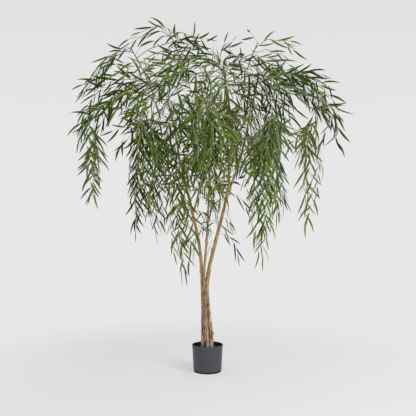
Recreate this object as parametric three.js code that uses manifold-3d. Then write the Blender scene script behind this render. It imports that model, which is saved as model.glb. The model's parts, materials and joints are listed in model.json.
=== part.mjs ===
// An artificial weeping willow: three slim stems twisted together in a plain nursery pot, a few
// boughs, and a wide crown of thin hanging foliage masses round the open space beneath it.
// Millimetres, +Z up, +X to the tree's right and +Y to its back. The origin is the centre of the
// pot's flat underside.
import * as THREE from "three";
import { mergeVertices } from "three/addons/utils/BufferGeometryUtils.js";
import Module from "manifold-3d";

const wasm = await Module();
wasm.setup();

// ---------------------------------------------------------------- driving dimensions

const GAP = 0.3; // clearance left between neighbouring solids

const POT_HEIGHT = 159;
const POT_RIM_DIAMETER = 185;
const POT_BASE_DIAMETER = 167;
const POT_WALL = 2.6;
const POT_FLOOR = 3.5;
const POT_LIP_OUT = 1.6; // how far the rolled lip stands out from the wall
const POT_LIP_HEIGHT = 7;
const POT_FOOT_HEIGHT = 9; // the set-in band round the foot
const POT_FOOT_STEP = 1.8;
const POT_SIDES = 36;

const FILL_LEVEL = 140; // top of the cement that the stems stand in
const FILL_DOME = 3; // how much the fill rises from its edge to its flat middle
const FILL_FLAT_RADIUS = 60;

const LIMB_SIDES = 8;
const LIMB_STEP = 75; // length of limb for each ring of faces
const BARK_UNEVEN = 0.035; // unevenness of a limb, as a share of its radius
const FLARE_LENGTH = 26; // height of the swollen foot of a stem
const FLARE = 0.16; // how much wider a stem is at its foot

const MASS_SIDES = 12;
const MASS_RINGS = 8;
const LUMPS = 0.22; // unevenness of a mass, as a share of its half width
const STRAY = 14; // how far a mass's middle line strays, in mm
const BLUNT = 0.42; // under 1 fills out the ends of a mass

// ---------------------------------------------------------------- materials

function paint(color, roughness) {
  return new THREE.MeshStandardMaterial({ color, roughness, metalness: 0 });
}

const MATERIALS = {
  pot: () => paint("#46484c", 0.55),
  fill: () => paint("#1d1b19", 0.95),
  bark: () => paint("#a08362", 0.85),
  twig: () => paint("#8a8f55", 0.7),
  leaves: () => paint("#5f7540", 0.6),
};

// ---------------------------------------------------------------- solids from geometry

// A closed three.js geometry as a solid, with shared vertices merged and empty faces dropped.
function solidOf(geometry) {
  const bare = geometry.clone();
  bare.deleteAttribute("normal");
  bare.deleteAttribute("uv");
  const merged = mergeVertices(bare, 1e-4);
  const corners = merged.index.array;
  const kept = [];
  for (let i = 0; i < corners.length; i += 3) {
    const [a, b, c] = corners.slice(i, i + 3);
    if (a !== b && b !== c && c !== a) kept.push(a, b, c);
  }
  return new wasm.Manifold(
    new wasm.Mesh({
      numProp: 3,
      vertProperties: new Float32Array(merged.attributes.position.array),
      triVerts: new Uint32Array(kept),
    }),
  );
}

function geometryOf(solid) {
  const { vertProperties, triVerts } = solid.getMesh();
  const indexed = new THREE.BufferGeometry();
  indexed.setAttribute("position", new THREE.BufferAttribute(new Float32Array(vertProperties), 3));
  indexed.setIndex(new THREE.BufferAttribute(new Uint32Array(triVerts), 1));
  const flat = indexed.toNonIndexed();
  flat.computeVertexNormals();
  return flat;
}

function meshOf(name, solid, material) {
  const mesh = new THREE.Mesh(geometryOf(solid), MATERIALS[material]());
  mesh.name = name;
  return mesh;
}

// ---------------------------------------------------------------- small sums

const mix = (a, b, t) => a + (b - a) * t;

// A repeatable stream of numbers from 0 to 1.
function dice(seed) {
  let state = seed * 2654435761 + 12345;
  return () => {
    state = (Math.imul(state ^ (state >>> 15), 2246822519) + 3266489917) >>> 0;
    return state / 4294967296;
  };
}

// A smooth uneven value, about -1 to 1, for a place round a mass (turn) and along it (t).
function lumpField(seed) {
  const roll = dice(seed);
  const waves = [1, 2, 3].map((round) => ({
    round,
    along: 1 + 2 * roll(),
    shift: 2 * Math.PI * roll(),
    drift: 2 * Math.PI * roll(),
    size: 0.8 / round ** 0.6,
  }));
  const height = (wave, turn, t) =>
    wave.size * Math.sin(wave.round * turn + wave.shift) * Math.cos(Math.PI * wave.along * t + wave.drift);
  return (turn, t) => waves.reduce((sum, wave) => sum + height(wave, turn, t), 0);
}

// ---------------------------------------------------------------- pot and fill

function potSolid() {
  const rim = POT_RIM_DIAMETER / 2;
  const base = POT_BASE_DIAMETER / 2;
  const wallAt = (z) => mix(base, rim - POT_LIP_OUT, z / POT_HEIGHT);
  const lipFoot = POT_HEIGHT - POT_LIP_HEIGHT;
  const profile = [
    [0, 0],
    [base - POT_FOOT_STEP - 1, 0],
    [base - POT_FOOT_STEP, 1],
    [wallAt(POT_FOOT_HEIGHT) - POT_FOOT_STEP, POT_FOOT_HEIGHT],
    [wallAt(POT_FOOT_HEIGHT), POT_FOOT_HEIGHT + POT_FOOT_STEP],
    [wallAt(lipFoot), lipFoot],
    [rim, lipFoot + POT_LIP_OUT],
    [rim, POT_HEIGHT - 1],
    [rim - 1, POT_HEIGHT],
    [rim - POT_LIP_OUT - POT_WALL, POT_HEIGHT],
    [base - POT_WALL - POT_FOOT_STEP, POT_FLOOR],
    [0, POT_FLOOR],
  ];
  return solidOf(lathe(profile, POT_SIDES));
}

// The cement fill: a plug that follows the inside of the pot and has a flat middle for the stems.
function fillSolid() {
  const innerFoot = POT_BASE_DIAMETER / 2 - POT_WALL - POT_FOOT_STEP;
  const innerRim = POT_RIM_DIAMETER / 2 - POT_LIP_OUT - POT_WALL;
  const innerAt = (z) => mix(innerFoot, innerRim, (z - POT_FLOOR) / (POT_HEIGHT - POT_FLOOR));
  const bottom = POT_FLOOR + GAP;
  const edge = FILL_LEVEL - FILL_DOME;
  const clear = 2 * GAP; // the flats of a many-sided wall stand closer than its corners
  const profile = [
    [0, bottom],
    [innerAt(bottom) - clear, bottom],
    [innerAt(edge) - clear, edge],
    [FILL_FLAT_RADIUS, FILL_LEVEL],
    [0, FILL_LEVEL],
  ];
  return solidOf(lathe(profile, POT_SIDES));
}

// Turns [radius, height] pairs, listed from the foot outwards and up, about the Z axis.
function lathe(profile, sides) {
  const points = profile.map(([r, z]) => new THREE.Vector2(r, z));
  return new THREE.LatheGeometry(points, sides).rotateX(Math.PI / 2);
}

// ---------------------------------------------------------------- stems, boughs and twigs

// Each limb passes through the points of `through`, and tapers between the diameters of `thick`.
const FOOT = FILL_LEVEL + GAP;
const LIMBS = [
  {
    name: "right_stem",
    material: "bark",
    through: [
      [22, 7, FOOT], [14, 9, 290], [-8, 11, 500], [20, 4, 660], [68, -4, 850],
      [131, -10, 1106],
    ],
    thick: [28, 17],
    flare: true,
    swell: 0.75,
  },
  {
    name: "left_stem",
    material: "bark",
    through: [
      [-27, 3, FOOT], [-26, 2, 364], [-33, -1, 560], [-46, -1, 740], [-100, -6, 992],
      [-168, -24, 1270],
    ],
    thick: [24.5, 13],
    flare: true,
  },
  {
    name: "middle_stem",
    material: "bark",
    through: [
      [-1, -23, FOOT], [-12, -25, 364], [-22, -26, 550], [-3, -6, 800], [8, 30, 1060],
      [18, 56, 1370],
    ],
    thick: [19, 9.5],
    flare: true,
  },
  {
    name: "left_bough",
    material: "bark",
    through: [
      [-168, -24, 1269], [-190, -32, 1420], [-222, -40, 1560],
    ],
    thick: [12.5, 9.5],
  },
  {
    name: "right_bough",
    material: "bark",
    through: [
      [133, -10, 1100], [171, -16, 1185], [225, -26, 1390], [262, -34, 1600],
    ],
    thick: [14.5, 9],
  },
  {
    name: "leader",
    material: "bark",
    through: [
      [131, -8, 1104], [125, 0, 1260], [122, 8, 1440], [112, 12, 1690], [104, 14, 1800],
    ],
    thick: [14, 7],
  },
  {
    name: "front_bough",
    material: "bark",
    through: [
      [-88, -8, 930], [-49, -40, 1078], [-25, -72, 1180], [-6, -150, 1420], [0, -240, 1590],
    ],
    thick: [11, 7],
  },
  {
    name: "back_bough",
    material: "bark",
    through: [
      [9, 46, 1110], [8, 110, 1320], [4, 200, 1500], [0, 260, 1590],
    ],
    thick: [10, 7],
  },
  {
    name: "left_twig_lower",
    material: "twig",
    through: [
      [-316, -30, 1640], [-372, -36, 1770], [-453, -44, 1925],
    ],
    thick: [8, 6],
  },
  {
    name: "left_twig_upper",
    material: "twig",
    through: [
      [-150, -20, 1850], [-196, -26, 1950], [-232, -30, 2040],
    ],
    thick: [8, 5.5],
  },
  {
    name: "right_twig",
    material: "twig",
    through: [
      [236, -20, 1800], [268, -24, 1890], [300, -28, 1960],
    ],
    thick: [8, 6],
  },
];

// A limb: a round bar with many rings, bent along its curve, tapered and made a little uneven.
function limbSolid(limb, grow = 0) {
  const curve = new THREE.CatmullRomCurve3(limb.through.map((p) => new THREE.Vector3(...p)));
  const length = curve.getLength();
  const rings = Math.max(3, Math.round(length / LIMB_STEP));
  const lumps = lumpField(limb.through[0][0] + 31);
  const [foot, tip] = limb.thick.map((d) => d / 2);
  const bar = new THREE.CylinderGeometry(1, 1, 1, LIMB_SIDES, rings);
  return solidOf(
    bend(bar, (across, along, thick) => {
      const t = along + 0.5;
      const flare = limb.flare ? FLARE * Math.max(0, 1 - (t * length) / FLARE_LENGTH) : 0;
      const swell = limb.swell ? limb.swell * Math.max(0, 1 - ((1 - t) * length) / LIMB_STEP) : 0;
      const uneven = 1 + BARK_UNEVEN * lumps(Math.atan2(thick, across), 4 * t);
      const radius = mix(foot, tip, t) * (1 + flare + swell) * uneven + grow;
      const centre = curve.getPointAt(t);
      const forward = t === 0 && limb.flare ? new THREE.Vector3(0, 0, 1) : curve.getTangentAt(t);
      const side = new THREE.Vector3(1, 0, 0).addScaledVector(forward, -forward.x).normalize();
      const face = new THREE.Vector3().crossVectors(side, forward);
      // the end faces of a grown limb stand out as far as its sides do
      const end = along === 0.5 ? grow : along === -0.5 ? -grow : 0;
      return centre
        .addScaledVector(side, across * radius)
        .addScaledVector(face, thick * radius)
        .addScaledVector(forward, end);
    }),
  );
}

// Moves every vertex of a geometry that stands along +Y to the place that `place` gives for it.
function bend(geometry, place) {
  const at = geometry.attributes.position;
  for (let i = 0; i < at.count; i += 1) {
    const p = place(at.getX(i), at.getY(i), at.getZ(i));
    at.setXYZ(i, p.x, p.y, p.z);
  }
  return geometry;
}

// ---------------------------------------------------------------- masses of foliage

// Each mass hangs in the upright plane at its bearing (degrees from +X, turning towards +Y).
// from, over and to are [distance out from the trunk's line, height]: its middle line starts at
// from, is drawn towards over, and ends at to. wide is its width across the plane at the start and
// the end, and deep its thickness in the plane. A bent mass arches over open space, so it is made
// as two solids that meet at its bend, one that rises and one that falls.
const MASSES = [
  // shoulders: the arching tops of the crown, from the trunk's line outwards
  { name: "leaves_left_shoulder", bearing: 180, from: [230, 1640], over: [540, 1880], to: [740, 1440],
    wide: [170, 370], deep: [150, 250], bent: true },
  { name: "leaves_front_left_shoulder", bearing: 222,
    from: [100, 1800], over: [350, 1945], to: [590, 1455],
    wide: [140, 380], deep: [130, 170], bent: true },
  { name: "leaves_front_shoulder", bearing: 268, from: [170, 1590], over: [430, 1850], to: [655, 1430],
    wide: [210, 390], deep: [130, 170], bent: true },
  { name: "leaves_front_right_shoulder", bearing: 314,
    from: [110, 1800], over: [360, 1955], to: [600, 1455],
    wide: [140, 390], deep: [130, 170], bent: true },
  { name: "leaves_right_shoulder", bearing: 0, from: [230, 1650], over: [540, 1950], to: [735, 1500],
    wide: [170, 370], deep: [150, 250], bent: true },
  { name: "leaves_back_right_shoulder", bearing: 46,
    from: [110, 1790], over: [360, 1935], to: [600, 1445],
    wide: [140, 390], deep: [130, 170], bent: true },
  { name: "leaves_back_shoulder", bearing: 92, from: [180, 1590], over: [440, 1840], to: [675, 1420],
    wide: [210, 390], deep: [130, 170], bent: true },
  { name: "leaves_back_left_shoulder", bearing: 138,
    from: [100, 1790], over: [350, 1925], to: [590, 1440],
    wide: [140, 380], deep: [130, 170], bent: true },
  // outer curtains: the hanging ends of the longest branches
  { name: "leaves_left_curtain", bearing: 181, from: [700, 1560], over: [735, 1270], to: [672, 975],
    wide: [310, 150], deep: [220, 100] },
  { name: "leaves_right_curtain", bearing: 357, from: [745, 1620], over: [790, 1420], to: [785, 1200],
    wide: [260, 150], deep: [110, 60] },
  { name: "leaves_right_low_curtain", bearing: 4, from: [610, 1560], over: [655, 1150], to: [615, 800],
    wide: [290, 130], deep: [170, 80] },
  { name: "leaves_front_curtain", bearing: 268, from: [650, 1480], over: [695, 1290], to: [640, 1110],
    wide: [330, 200], deep: [130, 80] },
  { name: "leaves_back_curtain", bearing: 92, from: [670, 1470], over: [720, 1270], to: [650, 1040],
    wide: [330, 200], deep: [130, 80] },
  // inner curtains: the ring of shorter hanging masses round the stems
  { name: "leaves_left_inner", bearing: 180, from: [385, 1560], over: [450, 1080], to: [425, 740],
    wide: [320, 210], deep: [140, 100] },
  { name: "leaves_front_left_inner", bearing: 222, from: [475, 1540], over: [450, 1100], to: [355, 765],
    wide: [320, 210], deep: [120, 100] },
  { name: "leaves_front_left_low", bearing: 241, from: [300, 1270], over: [335, 880], to: [240, 545],
    wide: [250, 120], deep: [90, 60] },
  { name: "leaves_front_inner", bearing: 272, from: [500, 1530], over: [495, 1230], to: [415, 940],
    wide: [310, 220], deep: [120, 90] },
  { name: "leaves_front_right_inner", bearing: 313,
    from: [485, 1550], over: [470, 1020], to: [410, 590],
    wide: [330, 170], deep: [130, 80] },
  { name: "leaves_right_inner", bearing: 0, from: [385, 1580], over: [445, 1180], to: [420, 850],
    wide: [300, 170], deep: [150, 80] },
  { name: "leaves_back_right_inner", bearing: 46, from: [485, 1540], over: [490, 1150], to: [430, 880],
    wide: [310, 170], deep: [120, 80] },
  { name: "leaves_back_inner", bearing: 92, from: [510, 1520], over: [500, 1220], to: [460, 1020],
    wide: [300, 200], deep: [120, 80] },
  { name: "leaves_back_left_inner", bearing: 138, from: [480, 1540], over: [470, 1120], to: [400, 800],
    wide: [310, 180], deep: [120, 80] },
  // the heart of the crown, round the ends of the stems
  { name: "leaves_heart_left", bearing: 214, from: [190, 1640], over: [240, 1420], to: [255, 1180],
    wide: [240, 210], deep: [110, 90] },
  { name: "leaves_heart_right", bearing: 318, from: [170, 1700], over: [230, 1480], to: [240, 1180],
    wide: [240, 220], deep: [110, 90] },
  { name: "leaves_heart_back", bearing: 84, from: [90, 1300], over: [70, 1500], to: [80, 1740],
    wide: [250, 230], deep: [100, 90] },
  // top: what stands up past the shoulders
  { name: "leaves_top_left", bearing: 180, from: [-20, 1860], over: [110, 2005], to: [250, 1800],
    wide: [260, 260], deep: [100, 120] },
  { name: "leaves_top_right", bearing: 0, from: [200, 1855], over: [360, 1935], to: [500, 1830],
    wide: [240, 240], deep: [90, 100] },
  { name: "leaves_top_left_plume", bearing: 181, from: [110, 1905], over: [250, 2205], to: [490, 1950],
    wide: [90, 140], deep: [80, 110], bent: true },
  { name: "leaves_top_left_arch", bearing: 181, from: [430, 1925], over: [610, 1895], to: [775, 1600],
    wide: [120, 240], deep: [80, 90] },
  { name: "leaves_top_middle", bearing: 4, from: [55, 1770], over: [85, 1900], to: [160, 2018],
    wide: [150, 80], deep: [90, 50] },
  { name: "leaves_top_right_plume", bearing: 0, from: [285, 1925], over: [405, 2040], to: [535, 1925],
    wide: [110, 120], deep: [60, 60] },
];

// The level direction in which a mass reaches out from the trunk's line.
function outward(mass) {
  const bearing = THREE.MathUtils.degToRad(mass.bearing);
  return new THREE.Vector3(Math.cos(bearing), Math.sin(bearing), 0);
}

function middleLine(mass) {
  const station = ([reach, height]) => outward(mass).multiplyScalar(reach).setZ(height);
  return new THREE.QuadraticBezierCurve3(station(mass.from), station(mass.over), station(mass.to));
}

// A mass: a ball stretched along the mass's middle line, blunt at its ends and uneven all over.
function massSolid(mass, grow = 0) {
  const out = outward(mass);
  const across = new THREE.Vector3(-out.y, out.x, 0);
  const line = middleLine(mass);
  const seed = mass.bearing + mass.to[1];
  const lumps = lumpField(seed);
  const stray = lumpField(seed + 7);
  const ball = new THREE.SphereGeometry(1, MASS_SIDES, MASS_RINGS);
  return solidOf(
    bend(ball, (x, y, z) => {
      const t = Math.asin(THREE.MathUtils.clamp(y, -1, 1)) / Math.PI + 0.5;
      const turn = Math.atan2(z, x);
      const atEnd = Math.hypot(x, z) < 1e-6;
      const round = atEnd ? 0 : Math.sin(Math.PI * t) ** BLUNT;
      const uneven = round * (1 + LUMPS * lumps(turn, t));
      const halfWide = atEnd ? 0 : (mix(...mass.wide, t) / 2) * uneven + grow;
      const halfDeep = atEnd ? 0 : (mix(...mass.deep, t) / 2) * uneven + grow;
      const forward = line.getTangent(t);
      const face = new THREE.Vector3().crossVectors(across, forward);
      return line
        .getPoint(t)
        .addScaledVector(across, Math.cos(turn) * halfWide + STRAY * stray(0, t))
        .addScaledVector(face, Math.sin(turn) * halfDeep + 0.5 * STRAY * stray(2, t))
        .addScaledVector(forward, (2 * t - 1) * grow);
    }),
  );
}

// A block that holds all of a mass on one side of its bend: past it (+1) or short of it (-1).
function sideOfBend(mass, side) {
  const line = middleLine(mass);
  const forward = line.getTangent(0.5);
  const size = 2 * line.getLength();
  const block = new THREE.BoxGeometry(size, size, size);
  block.applyQuaternion(new THREE.Quaternion().setFromUnitVectors(new THREE.Vector3(0, 1, 0), forward));
  const centre = line.getPoint(0.5).addScaledVector(forward, side * (size - GAP) / 2);
  return solidOf(block.translate(centre.x, centre.y, centre.z));
}

// The solids of a mass as [name, solid] pairs: one, or the two halves of a bent mass.
function massPieces(mass, keepOut) {
  const whole = cutClear(massSolid(mass), keepOut);
  if (!mass.bent) return [[mass.name, whole]];
  return [
    [`${mass.name}_rise`, whole.subtract(sideOfBend(mass, 1))],
    [`${mass.name}_fall`, whole.subtract(sideOfBend(mass, -1))],
  ];
}

// ---------------------------------------------------------------- the tree

// Each piece is cut back from the pieces before it that it meets, so that it keeps a small gap.
function cutClear(own, earlier) {
  return earlier.reduce((solid, other) => solid.subtract(other), own);
}

function buildTree() {
  const tree = new THREE.Group();
  tree.name = "willow";
  tree.add(meshOf("pot", potSolid(), "pot"));
  tree.add(meshOf("pot_fill", fillSolid(), "fill"));

  const keepOut = [];
  for (const limb of LIMBS) {
    tree.add(meshOf(limb.name, cutClear(limbSolid(limb), keepOut), limb.material));
    keepOut.push(limbSolid(limb, GAP));
  }
  for (const mass of MASSES) {
    for (const [name, solid] of massPieces(mass, keepOut)) tree.add(meshOf(name, solid, "leaves"));
    keepOut.push(massSolid(mass, GAP));
  }
  return tree;
}

export default buildTree();
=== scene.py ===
# %% [markdown]
# # An artificial weeping willow in a nursery pot
#
# Such a tree is made from a few real sticks and a lot of covered wire. Three slim stems are
# twisted together and set in cement, boughs carry on from them, and leafy wire shoots are
# pushed into the boughs and bent over until they hang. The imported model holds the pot, the
# limbs and one plain solid for each mass of foliage. This script keeps their places and
# gives them bark, wire and leaves. All lengths are in metres.

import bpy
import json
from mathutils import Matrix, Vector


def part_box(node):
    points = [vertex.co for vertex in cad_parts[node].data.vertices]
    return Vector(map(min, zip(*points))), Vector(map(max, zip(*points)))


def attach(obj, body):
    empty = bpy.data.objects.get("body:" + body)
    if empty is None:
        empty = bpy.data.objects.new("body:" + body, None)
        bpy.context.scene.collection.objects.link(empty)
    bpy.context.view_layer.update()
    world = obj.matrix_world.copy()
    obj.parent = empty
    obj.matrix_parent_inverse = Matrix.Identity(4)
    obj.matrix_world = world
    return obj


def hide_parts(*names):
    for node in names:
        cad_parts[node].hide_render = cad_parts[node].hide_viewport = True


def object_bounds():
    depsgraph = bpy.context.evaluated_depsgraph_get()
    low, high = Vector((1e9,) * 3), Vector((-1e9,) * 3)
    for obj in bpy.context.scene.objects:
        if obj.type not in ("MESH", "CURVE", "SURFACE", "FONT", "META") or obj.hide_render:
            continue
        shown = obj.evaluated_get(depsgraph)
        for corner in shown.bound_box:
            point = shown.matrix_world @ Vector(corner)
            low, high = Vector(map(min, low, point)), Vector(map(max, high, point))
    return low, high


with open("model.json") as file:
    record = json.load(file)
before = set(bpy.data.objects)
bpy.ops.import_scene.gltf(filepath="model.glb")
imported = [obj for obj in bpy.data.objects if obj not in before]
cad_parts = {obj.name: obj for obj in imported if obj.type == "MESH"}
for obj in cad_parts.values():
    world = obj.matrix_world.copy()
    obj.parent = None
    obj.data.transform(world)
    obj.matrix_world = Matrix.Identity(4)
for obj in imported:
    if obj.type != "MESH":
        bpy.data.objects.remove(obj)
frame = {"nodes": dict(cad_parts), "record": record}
cad_box = [list(corner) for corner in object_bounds()]

import json
import math

import bpy
import numpy as np

SEED = 8
UP = np.array([0.0, 0.0, 1.0])
print("CAD box:", cad_box)

# %% [markdown]
# ## Camera and studio
#
# The tree stands on a pale floor that fades into an even pale surrounding, so there is no
# line where a floor would meet a wall, from any side. A wall could be built behind the tree,
# but it would hide the tree from the back. Instead the floor is a disc that turns
# see-through towards its rim, and the world light does the rest. One big soft lamp stands to
# the right of the camera.

# %% Camera
EYE = (0.003, -3.74, 0.976)
LENS = 54
SENSOR_WIDTH = 36

scene = bpy.context.scene
scene.view_settings.view_transform = "Standard"
camera = bpy.data.objects.new("camera", bpy.data.cameras.new("camera"))
camera.data.lens = LENS
camera.data.sensor_width = SENSOR_WIDTH
camera.location = EYE
camera.rotation_euler = (math.radians(90), 0, 0)
scene.collection.objects.link(camera)
scene.camera = camera

# %% Lamp
KEY_PLACE = np.array([2.7, -2.9, 3.3])
KEY_AIM = np.array([0.0, 0.0, 1.1])
KEY_SIZE = 2.2
KEY_WATTS = 135

key = bpy.data.objects.new("key_lamp", bpy.data.lights.new("key_lamp", "AREA"))
key.data.shape = "DISK"
key.data.size = KEY_SIZE
key.data.energy = KEY_WATTS
key.location = KEY_PLACE
key.rotation_euler = Vector(KEY_PLACE - KEY_AIM).to_track_quat("Z", "Y").to_euler()
scene.collection.objects.link(key)


# %% Small helpers for node trees
def fill_in(tree, node, inputs):
    """Fills in inputs of a node by name or number: a socket is linked, any other value is set."""
    for name, value in inputs.items():
        if isinstance(value, bpy.types.NodeSocket):
            tree.links.new(value, node.inputs[name])
        else:
            node.inputs[name].default_value = value


def add_node(tree, kind, inputs=None, **settings):
    """Adds a node with its own settings and its inputs."""
    node = tree.nodes.new(kind)
    for name, value in settings.items():
        setattr(node, name, value)
    fill_in(tree, node, inputs or {})
    return node


def vector_node(tree, operation, *values):
    """A Vector Math node on sockets or triples. Returns its output."""
    node = add_node(tree, "ShaderNodeVectorMath", dict(enumerate(values)), operation=operation)
    return node.outputs["Value" if operation in ("DOT_PRODUCT", "LENGTH") else "Vector"]


def eased(tree, value, low, high, first=0.0, last=1.0):
    """Goes smoothly from first to last while value goes from low to high."""
    inputs = {"Value": value, "From Min": low, "From Max": high, "To Min": first, "To Max": last}
    return add_node(tree, "ShaderNodeMapRange", inputs, interpolation_type="SMOOTHSTEP").outputs["Result"]


def mixed(tree, share, first, second, blend="MIX"):
    """The first colour with a share of the second."""
    inputs = {0: share, 6: first, 7: second}
    return add_node(tree, "ShaderNodeMix", inputs, data_type="RGBA", blend_type=blend).outputs[2]


def new_material(name):
    """A material with nodes. Returns it, its tree and its Principled shader."""
    material = bpy.data.materials.new(name)
    material.use_nodes = True
    return material, material.node_tree, material.node_tree.nodes["Principled BSDF"]


def rgba(red, green, blue):
    return (red, green, blue, 1.0)


# %% World light
WORLD_LEVEL = 0.80
HIGH_LEVEL = 0.74
FADE_SPAN = (0.02, 0.45)  # the upright part of the directions in which the light fades

world = bpy.data.worlds.new("studio")
scene.world = world
world.use_nodes = True
sky = world.node_tree
direction = add_node(sky, "ShaderNodeTexCoord").outputs["Generated"]
height = add_node(sky, "ShaderNodeSeparateXYZ", {0: direction}).outputs["Z"]
level = eased(sky, height, *FADE_SPAN, WORLD_LEVEL, HIGH_LEVEL)
fill_in(sky, sky.nodes["Background"], {"Color": rgba(1.0, 1.0, 1.0), "Strength": level})

# %% Floor
FLOOR_RADIUS = 2.4
FLOOR_SIDES = 96
FLOOR_SOLID = 0.55
FLOOR_CLEAR = 2.0
FLOOR_SHADE = 0.33
FLOOR_MOTTLE = 0.01
FLOOR_GLOW = 0.41


def floor_material():
    material, tree, shader = new_material("studio_floor")
    place = add_node(tree, "ShaderNodeTexCoord").outputs["Object"]
    grain = add_node(tree, "ShaderNodeTexNoise", {"Vector": place, "Scale": 3.0, "Detail": 2.0})
    shades = [rgba(shade, shade, shade) for shade in (FLOOR_SHADE, FLOOR_SHADE + FLOOR_MOTTLE)]
    fill_in(tree, shader, {
        "Base Color": mixed(tree, grain.outputs["Fac"], *shades), "Roughness": 0.9, "Specular IOR Level": 0.0,
        "Emission Color": rgba(1.0, 1.0, 1.0), "Emission Strength": FLOOR_GLOW})
    clear = add_node(tree, "ShaderNodeBsdfTransparent").outputs[0]
    fade = eased(tree, vector_node(tree, "LENGTH", place), FLOOR_SOLID, FLOOR_CLEAR)
    blend = add_node(tree, "ShaderNodeMixShader", {0: fade, 1: shader.outputs[0], 2: clear})
    fill_in(tree, tree.nodes["Material Output"], {"Surface": blend.outputs[0]})
    return material


def mesh_object(name, points, faces, material=None, smooth=False, edges=()):
    """A new mesh object at the origin, in the scene."""
    mesh = bpy.data.meshes.new(name)
    mesh.from_pydata([tuple(p) for p in points], list(edges), list(faces))
    if material:
        mesh.materials.append(material)
    if smooth:
        mesh.shade_smooth()
    made = bpy.data.objects.new(name, mesh)
    scene.collection.objects.link(made)
    return made


def ring(radius, height, sides):
    """Points of a level circle."""
    turn = np.arange(sides) * 2 * math.pi / sides
    return np.column_stack([radius * np.cos(turn), radius * np.sin(turn), np.full(sides, height)])


floor = mesh_object("studio_floor", ring(FLOOR_RADIUS, 0.0, FLOOR_SIDES), [range(FLOOR_SIDES)],
                    floor_material())
print("studio: floor radius", FLOOR_RADIUS, "m, lamp", KEY_WATTS, "W, camera", -EYE[1], "m away")

# %% [markdown]
# ## Finishes that several pieces share
#
# Real surfaces are never one flat colour. A small shader group mixes two tones by a noise
# that can be stretched, and also puts out the noise itself, for roughness and bump. It is
# built once, and every material below places it with values of its own. The last cell here
# puts each piece on the body it rides on and hides the nodes it stands for.


# %% The two-tone group
def two_tone_group():
    tree = bpy.data.node_groups.new("two_tone", "ShaderNodeTree")
    inputs = [
        ("Vector", "NodeSocketVector", (0, 0, 0)),
        ("Pale", "NodeSocketColor", (0.5, 0.5, 0.5, 1)),
        ("Dark", "NodeSocketColor", (0.1, 0.1, 0.1, 1)),
        ("Stretch", "NodeSocketVector", (1, 1, 1)),
        ("Scale", "NodeSocketFloat", 20.0),
        ("Detail", "NodeSocketFloat", 3.0),
        ("Low", "NodeSocketFloat", 0.35),
        ("High", "NodeSocketFloat", 0.65),
    ]
    for name, kind, value in inputs:
        tree.interface.new_socket(name, in_out="INPUT", socket_type=kind).default_value = value
    tree.interface.new_socket("Color", in_out="OUTPUT", socket_type="NodeSocketColor")
    tree.interface.new_socket("Mask", in_out="OUTPUT", socket_type="NodeSocketFloat")
    given = add_node(tree, "NodeGroupInput").outputs
    grain = add_node(tree, "ShaderNodeTexNoise", {
        "Vector": vector_node(tree, "MULTIPLY", given["Vector"], given["Stretch"]),
        "Scale": given["Scale"], "Detail": given["Detail"]})
    mask = eased(tree, grain.outputs["Fac"], given["Low"], given["High"])
    colour = mixed(tree, mask, given["Dark"], given["Pale"])
    add_node(tree, "NodeGroupOutput", {"Color": colour, "Mask": mask})
    return tree


TWO_TONE = two_tone_group()


def tones_of(tree, place, pale, dark, scale=1.0, stretch=(1, 1, 1), span=(0.35, 0.65), detail=3.0):
    """The two-tone group in a material, with values of its own. Returns its outputs."""
    return add_node(tree, "ShaderNodeGroup", {
        "Vector": place, "Pale": rgba(*pale), "Dark": rgba(*dark), "Stretch": stretch, "Scale": scale,
        "Detail": detail, "Low": span[0], "High": span[1]}, node_tree=TWO_TONE).outputs


def add_bump(tree, shader, height, strength, depth):
    """Gives a shader relief that follows a height."""
    relief = add_node(tree, "ShaderNodeBump", {"Height": height, "Strength": strength, "Distance": depth})
    fill_in(tree, shader, {"Normal": relief.outputs["Normal"]})


def toned_material(name, pale, dark, scale, stretch=(1, 1, 1), span=(0.35, 0.65), roughness=(0.5, 0.6),
                   bump=0.0, bump_depth=0.0005, gloss=0.5, detail=3.0):
    """A Principled material whose colour, roughness and bump all follow one two-tone group."""
    material, tree, shader = new_material(name)
    place = add_node(tree, "ShaderNodeTexCoord").outputs["Object"]
    tones = tones_of(tree, place, pale, dark, scale, stretch, span, detail)
    sheen = add_node(tree, "ShaderNodeMapRange", {
        "Value": tones["Mask"], "To Min": roughness[1], "To Max": roughness[0]})
    fill_in(tree, shader, {
        "Base Color": tones["Color"], "Roughness": sheen.outputs["Result"], "Specular IOR Level": gloss})
    if bump:
        add_bump(tree, shader, tones["Mask"], bump, bump_depth)
    return material


# %% How every piece rides on the body and hides its CAD nodes
def finish_piece(piece, slot, *nodes):
    """Rides the whole tree's one body, and hides the CAD nodes it stands for. Its slot is not used."""
    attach(piece, "root")
    if nodes:
        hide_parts(*nodes)
    print(piece.name, len(piece.data.polygons), "faces")


# %% [markdown]
# ## The pot and its fill
#
# The pot is thin moulded plastic: a straight wall that opens a little upwards, a rolled lip
# with a slightly wider band under it, and a band set in round the foot. It is a lathe job, so
# its outline is drawn once, with the corners rounded, and swept round in 120 steps. The
# plastic is slate grey with a faint moulded grain. The inner face of its wall is near black:
# painted shade, for the shadow inside the pot. The cement inside is painted near black, and
# its face is lumpy.


# %% Lathe
def lathe(name, outline, sides, material):
    """Sweeps an outline of (radius, height) pairs, which starts and ends on the axis."""
    points = []
    faces = []
    rows = []
    for radius, level in outline:
        if radius < 1e-6:
            rows.append([len(points)] * sides)
            points.append((0.0, 0.0, level))
        else:
            rows.append(list(range(len(points), len(points) + sides)))
            points.extend(ring(radius, level, sides))
    for lower, upper in zip(rows, rows[1:]):
        for i in range(sides):
            j = (i + 1) % sides
            corners = [lower[i], lower[j], upper[j], upper[i]]
            faces.append(list(dict.fromkeys(corners)))
    return mesh_object(name, points, faces, material, smooth=True)


SIDE_PARTS = 2.2  # rounding takes less than half of a side at each of its corners


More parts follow.
